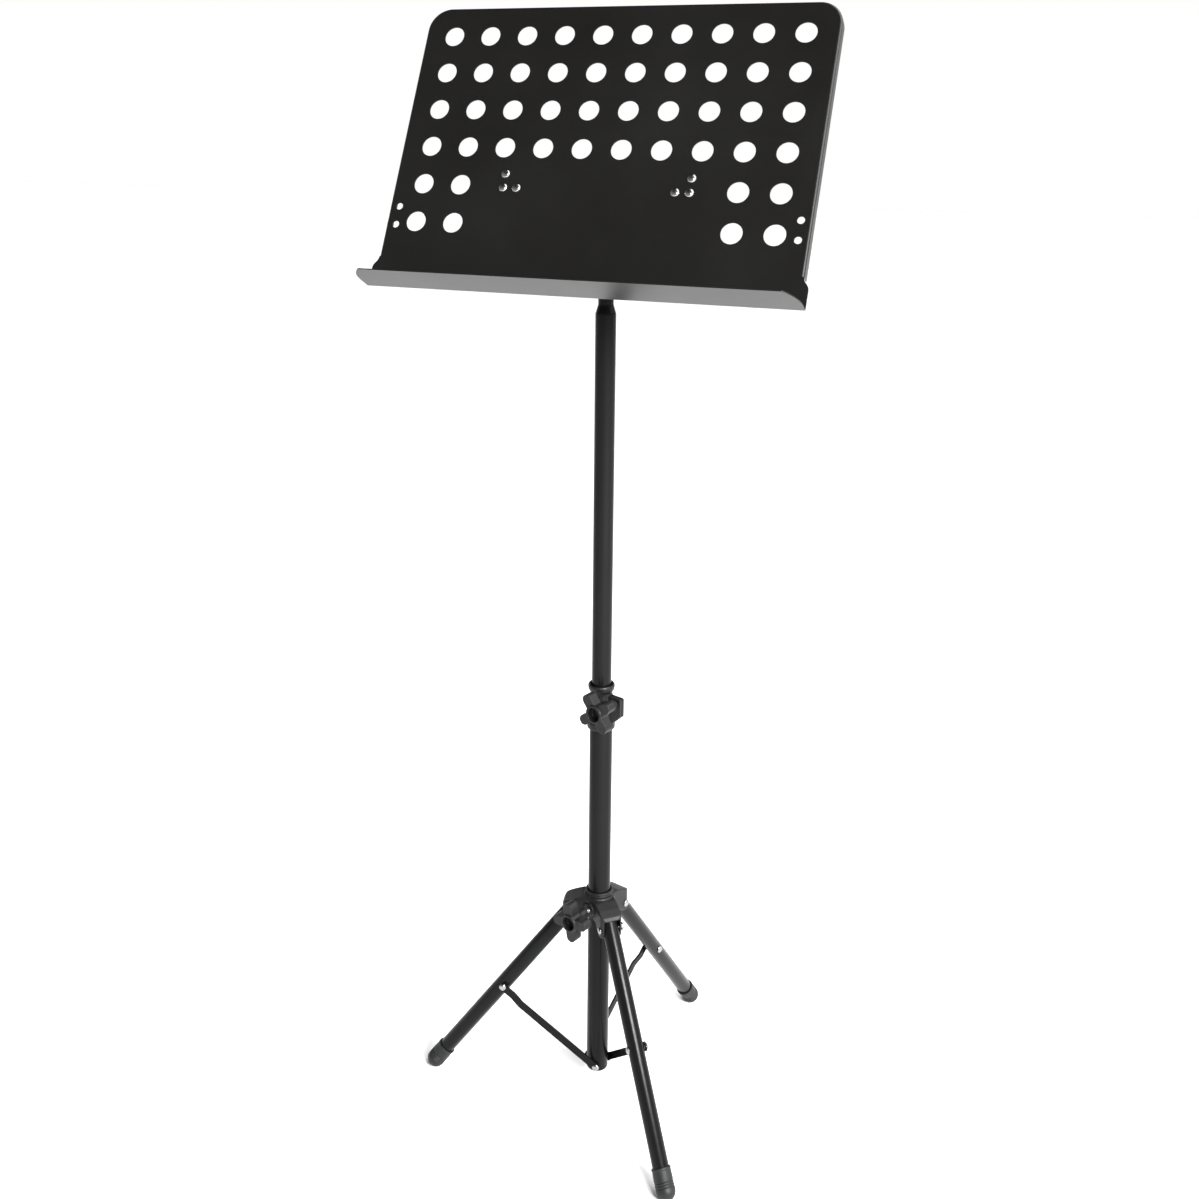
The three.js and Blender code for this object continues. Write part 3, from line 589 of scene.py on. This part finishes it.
def upper_tube():
    """Upper tube with its drawn-in neck. The profile starts and ends on its side."""
    bore, neck_bore = UPPER_TUBE_RADIUS - TUBE_WALL, NECK_RADIUS - TUBE_WALL
    return turned("fine_upper_tube", [
        (UPPER_TUBE_RADIUS, TUBE_SEAM),
        (UPPER_TUBE_RADIUS, TAPER_BOTTOM),
        (NECK_RADIUS, TAPER_TOP),
        (NECK_RADIUS, NECK_TOP),
        (neck_bore, NECK_TOP),
        (neck_bore, TAPER_TOP),
        (bore, TAPER_BOTTOM),
        (bore, UPPER_TUBE_BOTTOM),
        (UPPER_TUBE_RADIUS, UPPER_TUBE_BOTTOM),
        (UPPER_TUBE_RADIUS, TUBE_SEAM),
    ], 64, 1.6)


def tube_plug():
    """Pressed-in cap with a slightly domed face and a long spigot."""
    seat = LOWER_TUBE_BOTTOM - GAP
    spigot = LOWER_TUBE_RADIUS - TUBE_WALL - GAP
    return turned("fine_tube_plug", [
        (0, seat - 3.2), (6, seat - 3.6), (LOWER_TUBE_RADIUS - 3.5, seat - 4),
        (LOWER_TUBE_RADIUS - 1, seat - 2.8), (LOWER_TUBE_RADIUS, seat - 0.8),
        (LOWER_TUBE_RADIUS, seat), (spigot, seat),
        (spigot, seat + PLUG_SPIGOT), (0, seat + PLUG_SPIGOT),
    ])


def slide_bush():
    """Ribbed collar that slides in the lower tube, on a spigot in the upper tube."""
    seat = UPPER_TUBE_BOTTOM - GAP
    bottom, top = seat - BUSH_COLLAR, seat + BUSH_SPIGOT
    outer = LOWER_TUBE_RADIUS - TUBE_WALL - GAP
    groove = outer - BUSH_GROOVE
    spigot = UPPER_TUBE_RADIUS - TUBE_WALL - GAP
    profile = [(BUSH_BORE, bottom), (outer, bottom)]
    for k in range(BUSH_RIBS):
        rib = bottom + 0.6 + BUSH_RIB_PITCH * k
        profile += [(outer, rib), (outer, rib + 1.4), (groove, rib + 1.7), (groove, rib + 2.1)]
    profile += [(outer, seat), (spigot, seat), (spigot, top), (BUSH_BORE, top), (BUSH_BORE, bottom)]
    return turned("fine_slide_bush", profile, 64, 0.15)


def hub_ring():
    """Wiper ring on the hub: a flange, a groove and a rounded lip."""
    inner = LOWER_TUBE_RADIUS + RING_GAP
    seat = HUB_TOP + GAP
    return turned("fine_hub_ring", [
        (inner, seat), (17.6, seat), (17.6, seat + 2.0), (16.7, seat + 2.6), (16.7, seat + 3.1),
        (17.4, seat + 3.6), (17.2, seat + 5.2), (16.4, seat + 6), (inner, seat + 5.6), (inner, seat),
    ], 96, 0.3)


def tilt_bar():
    """Round bar, shouldered inside each ear and riveted over outside it."""
    shoulder, head = EAR_WEB_X - GAP, EAR_WEB_X + EAR_THICKNESS + GAP
    half = [
        (BAR_RADIUS, shoulder), (BAR_JOURNAL, shoulder), (BAR_JOURNAL, head), (BAR_RADIUS + 1, head),
        (BAR_RADIUS + 0.8, head + 1.6), (4.5, head + 3.1), (0, head + 3.5),
    ]
    mirrored = [(radius, -along) for radius, along in reversed(half)]
    return turned("fine_tilt_bar", mirrored + half)


def leg_tube(name):
    return pipe("fine_leg_" + name, LEG_RADIUS, LEG_RADIUS - TUBE_WALL,
                -LEG_ABOVE_HINGE, LEG_LENGTH - LEG_SHORT_OF_FOOT)


def foot(name):
    """Rubber cap with a beaded mouth and three shallow grip grooves, flat where it stands."""
    bore = LEG_RADIUS + GAP / 2
    mouth = LEG_LENGTH - FOOT_LENGTH
    bottom = LEG_LENGTH - LEG_SHORT_OF_FOOT + GAP
    neck, wall, root = FOOT_RADIUS - FOOT_BEAD, FOOT_RADIUS - 0.1, FOOT_RADIUS - FOOT_GROOVE_DEPTH
    profile = [(bore, mouth), (neck, mouth), (FOOT_RADIUS, mouth + 0.9),
               (FOOT_RADIUS, mouth + 2.4), (neck, mouth + 3.3)]
    for k in range(FOOT_GROOVES):
        groove = mouth + 15 + FOOT_GROOVE_PITCH * k
        profile += [(wall, groove), (root, groove + 0.6), (root, groove + 1), (wall, groove + 1.6)]
    profile += arc(0, LEG_LENGTH, FOOT_RADIUS, 0, 90, 9)
    profile += [(0, bottom), (bore, bottom), (bore, mouth)]
    cap = turned_by(turned("fine_foot_" + name, profile, 64, 0.3), "Y", pi / 2)
    ground = rod("ground", 40, -20 - FOOT_CENTRE_HEIGHT, -FOOT_CENTRE_HEIGHT, 32)
    turned_by(ground, "Y", -LEG_SLOPE)
    ground.data.transform(Matrix.Translation((LEG_LENGTH, 0, 0)))
    cut_or_join(cap, ground, "DIFFERENCE")
    return cap


def hinge_pin(name):
    """Bolt across a hub arm, with a domed head and a hexagon nut."""
    outside = HUB_ARM_HALF_WIDTH + GAP
    shank_end = -outside - HINGE_NUT_DEPTH - GAP
    bolt = domed_pin("fine_hinge_pin_" + name, HINGE_PIN, shank_end, outside, HINGE_HEAD, BOLT_HEAD_HEIGHT)
    hexagon = arc(0, 0, HINGE_NUT, 0, 300, 5)
    nut = chamfered(prism("nut", hexagon, -outside - HINGE_NUT_DEPTH, -outside), 0.3, 30)
    cut_or_join(bolt, nut, "UNION")
    return bolt


# ------------------------------------------------------------------ materials

def new_material(name, color, metallic, roughness):
    """Starts from one colour and one roughness, which the noises below then vary."""
    material = bpy.data.materials.new(name)
    material.use_nodes = True
    shader = material.node_tree.nodes["Principled BSDF"]
    shader.inputs["Base Color"].default_value = (*color, 1)
    shader.inputs["Metallic"].default_value = metallic
    shader.inputs["Roughness"].default_value = roughness
    return material, shader


def texture(material, scale, detail=4, stretch=(1, 1, 1)):
    """Noise in the piece's own coordinates, so that it moves with the piece."""
    nodes, links = material.node_tree.nodes, material.node_tree.links
    place = nodes.new("ShaderNodeTexCoord")
    mapping = nodes.new("ShaderNodeMapping")
    mapping.inputs["Scale"].default_value = stretch
    noise = nodes.new("ShaderNodeTexNoise")
    noise.inputs["Scale"].default_value = scale
    noise.inputs["Detail"].default_value = detail
    links.new(place.outputs["Object"], mapping.inputs["Vector"])
    links.new(mapping.outputs["Vector"], noise.inputs["Vector"])
    return noise.outputs["Fac"]


def spread(material, source, low_value, high_value, socket):
    """Drives a socket between two values by a noise."""
    nodes, links = material.node_tree.nodes, material.node_tree.links
    span = nodes.new("ShaderNodeMapRange")
    span.inputs["From Min"].default_value = 0.3
    span.inputs["From Max"].default_value = 0.7
    span.inputs["To Min"].default_value = low_value
    span.inputs["To Max"].default_value = high_value
    links.new(source, span.inputs["Value"])
    links.new(span.outputs["Result"], socket)


def tint(material, source, dark, light, socket):
    """Drives a colour socket between two colours by a noise."""
    nodes, links = material.node_tree.nodes, material.node_tree.links
    ramp = nodes.new("ShaderNodeValToRGB")
    ramp.color_ramp.elements[0].position = 0.3
    ramp.color_ramp.elements[0].color = (*dark, 1)
    ramp.color_ramp.elements[1].position = 0.7
    ramp.color_ramp.elements[1].color = (*light, 1)
    links.new(source, ramp.inputs["Fac"])
    links.new(ramp.outputs["Color"], socket)


def relief(material, shader, source, strength, distance):
    """Surface grain from a noise, its distance in metres."""
    nodes, links = material.node_tree.nodes, material.node_tree.links
    bump = nodes.new("ShaderNodeBump")
    bump.inputs["Strength"].default_value = strength
    bump.inputs["Distance"].default_value = distance
    links.new(source, bump.inputs["Height"])
    links.new(bump.outputs["Normal"], shader.inputs["Normal"])


def desk_paint():
    """Satin black powder coat: a fine orange-peel grain over slow changes of gloss."""
    material, shader = new_material("desk_powder_coat", (0.0035, 0.0033, 0.0031), 0, 0.33)
    shader.inputs["IOR"].default_value = 1.47
    grain = texture(material, 1400, 3)
    cloud = texture(material, 7, 5)
    tint(material, cloud, (0.003, 0.0028, 0.0026), (0.004, 0.0038, 0.0036),
         shader.inputs["Base Color"])
    spread(material, cloud, 0.3, 0.36, shader.inputs["Roughness"])
    relief(material, shader, grain, 0.12, 0.0002)
    return material


def tube_paint():
    """Smoother semi-gloss enamel with faint draw lines along the tube."""
    material, shader = new_material("tube_enamel", (0.004, 0.004, 0.0042), 0, 0.24)
    shader.inputs["IOR"].default_value = 1.19
    lines = texture(material, 260, 4, (1, 1, 0.02))
    cloud = texture(material, 9, 4)
    tint(material, cloud, (0.0034, 0.0034, 0.0036), (0.0046, 0.0046, 0.0048),
         shader.inputs["Base Color"])
    spread(material, lines, 0.21, 0.27, shader.inputs["Roughness"])
    relief(material, shader, texture(material, 900, 3), 0.03, 0.0002)
    return material


def moulded_plastic():
    """Glass-filled nylon: dark, a little purple, with a spark-eroded grain."""
    material, shader = new_material("moulded_plastic", (0.006, 0.0055, 0.0058), 0, 0.42)
    shader.inputs["IOR"].default_value = 1.3
    cloud = texture(material, 60, 4)
    tint(material, cloud, (0.005, 0.0046, 0.0048), (0.0075, 0.0069, 0.0073),
         shader.inputs["Base Color"])
    spread(material, cloud, 0.38, 0.5, shader.inputs["Roughness"])
    relief(material, shader, texture(material, 1100, 2), 0.25, 0.0002)
    return material


def foot_rubber():
    """Matte black rubber with a coarse grain."""
    material, shader = new_material("foot_rubber", (0.006, 0.0062, 0.0065), 0, 0.55)
    shader.inputs["IOR"].default_value = 1.34
    cloud = texture(material, 90, 5)
    tint(material, cloud, (0.005, 0.0052, 0.0055), (0.008, 0.0082, 0.0086),
         shader.inputs["Base Color"])
    spread(material, cloud, 0.48, 0.62, shader.inputs["Roughness"])
    relief(material, shader, texture(material, 700, 4), 0.3, 0.0003)
    return material


def zinc_plate():
    """Bright zinc over cold-headed steel, slightly cloudy."""
    material, shader = new_material("zinc_plate", (0.3, 0.3, 0.29), 1, 0.22)
    cloud = texture(material, 300, 4)
    tint(material, cloud, (0.26, 0.26, 0.25), (0.34, 0.34, 0.33), shader.inputs["Base Color"])
    spread(material, cloud, 0.17, 0.28, shader.inputs["Roughness"])
    relief(material, shader, texture(material, 1500, 2), 0.1, 0.0001)
    return material


# ------------------------------------------------------------------ studio

FLOOR_SIZE = 40               # metres, like every length below
FLOOR_WHITE = 0.88            # reflectance
# painted shade: the floor's reflectance far out in front, greyed to stand in for the dimmer studio light
# there
FLOOR_PAINTED_SHADE = 0.55
FLOOR_FADE = (-10.0, -1.2)    # from grey to white, along the backdrop's direction
BACKDROP_DIRECTION = (-0.348, 0.937, 0)
BACKDROP_SIDE = 0.58          # brightness away from that direction, where it is 1
BACKDROP_EDGE = (0.7, 0.91)   # cosines from that direction between which it fades
BACKDROP_OVERHEAD = 0.06
BACKDROP_RISE = (0.12, 0.9)   # sines of elevation between which it darkens
SKY_DIRECTION = (0.6, 0.2, 0.8)
SKY_ANGLE = 1.2               # the width of the light, in radians
SKY_STRENGTH = 4.2
STRIP_PLACE = (3.33, -2.82, 2.78)
STRIP_TARGET = (0.09, -0.09, 0.13)
STRIP_SIZE = (2.2, 0.9)
STRIP_POWER = 720             # watts


def soft_step(nodes, links, source, limits, values):
    """The first value below the first limit, the last above the last, eased in between."""
    step = nodes.new("ShaderNodeMapRange")
    step.interpolation_type = "SMOOTHSTEP"
    for name, value in zip(("From Min", "From Max", "To Min", "To Max"), (*limits, *values)):
        step.inputs[name].default_value = value
    links.new(source, step.inputs["Value"])
    return step.outputs["Result"]


def floor_paint():
    """Near-white round the stand and behind it, falling to grey far out in front: painted shade in the
    floor's colour, in place of the dimmer studio light there.
    """
    material, shader = new_material("studio_floor", (FLOOR_WHITE, FLOOR_WHITE, FLOOR_WHITE), 0, 0.7)
    nodes, links = material.node_tree.nodes, material.node_tree.links
    place = nodes.new("ShaderNodeTexCoord")
    behind = nodes.new("ShaderNodeVectorMath")
    behind.operation = "DOT_PRODUCT"
    behind.inputs[1].default_value = BACKDROP_DIRECTION
    links.new(place.outputs["Object"], behind.inputs[0])
    # painted shade: the colour falls from white to grey far out in front, in place of light falling off
    level = soft_step(nodes, links, behind.outputs["Value"], FLOOR_FADE, (FLOOR_PAINTED_SHADE, FLOOR_WHITE))
    links.new(level, shader.inputs["Base Color"])
    spread(material, texture(material, 3, 3), 0.66, 0.74, shader.inputs["Roughness"])
    return material


def backdrop():
    """White behind the stand, dim overhead and towards the sides and the front."""
    world = bpy.data.worlds.new("studio")
    bpy.context.scene.world = world
    world.use_nodes = True
    nodes, links = world.node_tree.nodes, world.node_tree.links
    place = nodes.new("ShaderNodeTexCoord")
    split = nodes.new("ShaderNodeSeparateXYZ")
    links.new(place.outputs["Generated"], split.inputs["Vector"])
    low_down = soft_step(nodes, links, split.outputs["Z"], BACKDROP_RISE, (1.0, BACKDROP_OVERHEAD))
    facing = nodes.new("ShaderNodeVectorMath")
    facing.operation = "DOT_PRODUCT"
    facing.inputs[1].default_value = BACKDROP_DIRECTION
    links.new(place.outputs["Generated"], facing.inputs[0])
    behind = soft_step(nodes, links, facing.outputs["Value"], BACKDROP_EDGE, (BACKDROP_SIDE, 1.0))
    both = nodes.new("ShaderNodeMath")
    both.operation = "MULTIPLY"
    links.new(low_down, both.inputs[0])
    links.new(behind, both.inputs[1])
    links.new(both.outputs["Value"], nodes["Background"].inputs["Strength"])
    nodes["Background"].inputs["Color"].default_value = (1, 1, 1, 1)


def wide_sky():
    """A very soft far light, which brings the whole floor to an even near-white."""
    data = bpy.data.lights.new("wide_sky", "SUN")
    data.angle = SKY_ANGLE
    data.energy = SKY_STRENGTH
    light = new_object("wide_sky", data)
    light.matrix_world = Vector(SKY_DIRECTION).to_track_quat("Z", "Y").to_matrix().to_4x4()


def front_strip():
    """A softbox on the front right: the long highlight down the leg that points forward."""
    data = bpy.data.lights.new("front_strip", "AREA")
    data.shape = "RECTANGLE"
    data.size, data.size_y = STRIP_SIZE
    data.energy = STRIP_POWER
    light = new_object("front_strip", data)
    aim = Vector(STRIP_TARGET) - Vector(STRIP_PLACE)
    turn = aim.to_track_quat("-Z", "Y").to_matrix().to_4x4()
    light.matrix_world = Matrix.Translation(STRIP_PLACE) @ turn


def studio():
    bpy.ops.mesh.primitive_plane_add(size=FLOOR_SIZE)
    floor = bpy.context.object
    floor.name = "studio_floor"
    floor.data.materials.append(floor_paint())

    backdrop()
    wide_sky()
    front_strip()


def camera():
    data = bpy.data.cameras.new("camera")
    data.sensor_width = 36
    data.lens = VIEW_LENS
    data.shift_x = VIEW_SHIFT_X
    data.shift_y = VIEW_SHIFT_Y
    data.clip_end = 100
    view = new_object("camera", data)
    view.matrix_world = camera_frame()
    bpy.context.scene.camera = view


# ------------------------------------------------------------------ the scene

MATERIALS = {
    "desk_paint": desk_paint(),
    "tube_paint": tube_paint(),
    "plastic": moulded_plastic(),
    "rubber": foot_rubber(),
    "zinc": zinc_plate(),
}
SLOT_OF = {entry["node"]: entry["material_slot"] for entry in frame["record"]["subparts"]}

for node, cad_object in frame["nodes"].items():
    cad_object.data.materials.clear()
    cad_object.data.materials.append(MATERIALS[SLOT_OF[node]])

ALONG_X = spin("Y", pi / 2)
ALONG_Y = spin("X", -pi / 2)
BACK_ALONG_Y = spin("Z", pi) @ ALONG_Y
ROW = Matrix.Identity(4)
SIDES = (("left", -1), ("right", 1))


def put(piece, matrix, body, node):
    """Sets a piece, built in millimetres, in the row frame in place of one CAD node."""
    slot = SLOT_OF[node]
    piece.data.transform(matrix @ Matrix.Scale(MM, 4))
    piece.data.materials.clear()
    piece.data.materials.append(MATERIALS[slot])
    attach(piece, body)
    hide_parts(node)


def build_mast():
    put(lower_tube(), MAST, "base", "lower_tube")
    put(tube_plug(), MAST, "base", "tube_plug")
    put(upper_tube(), MAST, "mast", "upper_tube")
    put(slide_bush(), MAST, "slide_bush", "slide_bush")
    put(hub_ring(), MAST, "hub", "hub_ring")
    put(rounded_off(cad_solid("clamp_collar"), 0.45, 6), ROW, "base", "clamp_collar")
    put(rounded_off(cad_solid("hub"), 0.6, 8), ROW, "hub", "hub")
    put(rounded_off(cad_solid("tilt_head"), 0.5, 8), ROW, "mast", "tilt_head")
    pin = rod("fine_head_pin", PIN_RADIUS, -SOCKET_RADIUS, SOCKET_RADIUS)
    put(pin, MAST @ shift(0, 0, HEAD_PIN_HEIGHT) @ ALONG_X, "mast", "head_pin")


def build_desk():
    desk = desk_frame()
    put(desk_panel(), desk, "desk", "desk_panel")
    put(tilt_bar(), desk @ ALONG_X, "desk", "tilt_bar")
    for label, side in SIDES:
        ear = "bracket_ear_" + label
        put(refined(ear, 0.4), ROW, "desk", ear)
        for index, (x, height) in enumerate(RIVET_PLACES):
            node = f"desk_rivet_{label}_{index + 1}"
            rivet = domed_pin("fine_" + node, RIVET_SHANK, -RIVET_LENGTH, HEAD_GAP,
                              DESK_RIVET_HEAD, RIVET_HEAD_HEIGHT)
            put(rivet, desk @ shift(side * x, PLATE_FRONT, height) @ BACK_ALONG_Y, "desk", node)


def build_leg(name):
    body = f"leg_{name}_body"
    leg = leg_frame(name)
    put(leg_tube(name), leg @ ALONG_X, body, "leg_" + name)
    put(foot(name), leg, body, "foot_" + name)
    inside = BRACE_AT_LEG - BRACE_THICKNESS / 2 - 2 * GAP
    bolt = domed_pin("fine_leg_bolt_" + name, PIN_RADIUS, -inside, LEG_RADIUS + HEAD_GAP,
                     RIVET_HEAD, BOLT_HEAD_HEIGHT)
    put(bolt, leg @ shift(BRACE_ON_LEG, 0, 0) @ BACK_ALONG_Y, body, "leg_bolt_" + name)


def build_brace(name):
    body = f"brace_{name}_body"
    at_tube = side_frame(name) @ shift(0, 0, BRACE_RIVET_HEIGHT)
    along = at_tube @ spin("Y", -atan2(BRACE_RISE, BRACE_RUN))
    at_leg = along @ shift(hypot(BRACE_RUN, BRACE_RISE), 0, 0)
    blade = widened(refined("brace_" + name), along, BRACE_WIDENING)
    put(blade, ROW, body, "brace_" + name)
    face = BRACE_AT_LEG + BRACE_THICKNESS / 2
    pin = domed_pin("fine_brace_pin_" + name, PIN_RADIUS, face - BRACE_THICKNESS, face + HEAD_GAP,
                    RIVET_HEAD, BOLT_HEAD_HEIGHT)
    put(pin, at_leg @ ALONG_Y, body, "brace_pin_" + name)
    face = BRACE_AT_TUBE + BRACE_THICKNESS / 2
    rivet = domed_pin("fine_brace_rivet_" + name, PIN_RADIUS, BRACE_RIVET_ROOT, face + HEAD_GAP,
                      RIVET_HEAD, RIVET_HEAD_HEIGHT)
    put(rivet, at_tube @ ALONG_Y, "base", "brace_rivet_" + name)


def build_hinge(name):
    hinge = side_frame(name) @ shift(HINGE_RADIUS, 0, HINGE_HEIGHT)
    put(hinge_pin(name), hinge @ BACK_ALONG_Y, "hub", "hinge_pin_" + name)


def build_knobs():
    """Three equal knobs, each with its screw."""
    hub_height = HINGE_HEIGHT + HUB_KNOB_RISE
    # A name, an axis, where on it the knob begins and the screw ends, and the turn of the lobes.
    clamps = (
        ("height", level_frame(KNOB_AZIMUTH, CLAMP_SCREW_HEIGHT, CLAMP_SCREW_OFFSET),
         CLAMP_KNOB_BASE, -CLAMP_EAR_HALF - CLAMP_SCREW_PAST_EAR, CLAMP_LOBE_TURN),
        ("hub", level_frame(KNOB_AZIMUTH, hub_height, 0),
         HUB_KNOB_BASE, LOWER_TUBE_RADIUS + GAP, HUB_LOBE_TURN),
        ("tilt", MAST @ shift(0, 0, TILT_AXIS_HEIGHT) @ ALONG_Y,
         TILT_KNOB_BASE, BAR_RADIUS + GAP, TILT_LOBE_TURN),
    )
    pattern = star_knob()
    for name, axis, base, tip, lobe_turn in clamps:
        body = name + "_clamp_knob"
        knob = new_object(f"fine_{name}_knob", pattern.data.copy())
        put(knob, axis @ shift(0, 0, base) @ spin("Z", radians(lobe_turn)), body, name + "_knob")
        screw = threaded_screw(f"fine_{name}_screw", tip, base + SCREW_IN_KNOB)
        put(screw, axis, body, name + "_screw")
    bpy.data.objects.remove(pattern)


build_mast()
build_desk()
for leg_name in LEG_AZIMUTHS:
    build_leg(leg_name)
    build_brace(leg_name)
    build_hinge(leg_name)
build_knobs()

bpy.context.scene.view_settings.view_transform = "Standard"
studio()
camera()
